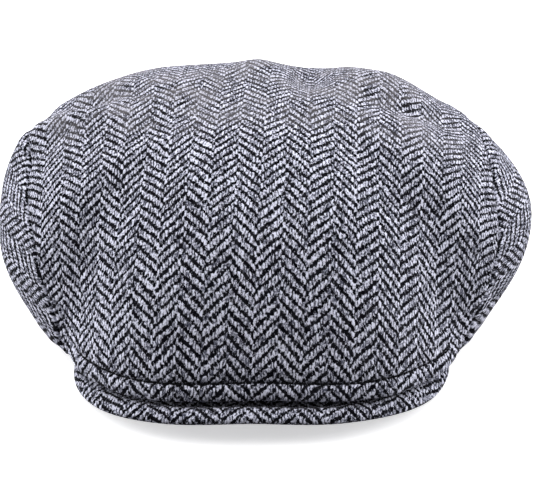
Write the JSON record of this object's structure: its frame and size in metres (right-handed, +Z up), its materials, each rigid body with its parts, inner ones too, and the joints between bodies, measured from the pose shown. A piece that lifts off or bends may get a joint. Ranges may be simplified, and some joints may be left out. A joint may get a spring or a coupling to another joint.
{
  "type": "flat cap",
  "caption": "Soft three-panel wool flat cap with a short stiffened peak, full lining and a sweatband round the head opening.",
  "frame": {"origin": "centre of the head opening, in the plane of its lower rim", "axes": "+Z up through the crown, -Y the way the wearer faces (the peak), +X towards the wearer's left"},
  "size_m": [0.2706, 0.2776, 0.112],
  "materials": {
    "wool_herringbone": "brushed wool, two-and-two herringbone in light grey and near-black yarns",
    "sewing_thread": "matt spun polyester thread",
    "canvas": "unbleached woven interlining",
    "lining_satin": "soft satin, diamond quilted",
    "sweatband_cotton": "ribbed cotton tape",
    "woven_label": "blank damask-woven polyester",
    "peak_board": "smooth low-density board",
    "peak_padding": "needled felt wadding"
  },
  "bodies": {
    "crown": {"top_panel": "wool_herringbone", "left_side_panel": "wool_herringbone", "right_side_panel": "wool_herringbone", "left_seam_thread": "sewing_thread", "right_seam_thread": "sewing_thread", "back_seam_thread": "sewing_thread", "front_topstitch": "sewing_thread", "crown_interlining": "canvas", "lining_top": "lining_satin", "lining_left": "lining_satin", "lining_right": "lining_satin", "headband_tape": "canvas", "sweatband": "sweatband_cotton", "sweatband_stitch": "sewing_thread", "lining_label": "woven_label", "size_tab": "woven_label", "peak_seam_thread": "sewing_thread"},
    "peak": {"peak_upper_cover": "wool_herringbone", "peak_under_cover": "wool_herringbone", "peak_board": "peak_board", "peak_padding": "peak_padding"}
  },
  "joints": [
    {"name": "peak_flex", "type": "hinge", "parent": "crown", "child": "peak", "pos_m": [0, -0.048, 0.004], "axis": [1, 0, 0], "range_deg": [0, 10], "stiffness_Nm_per_rad": 1}
  ]
}
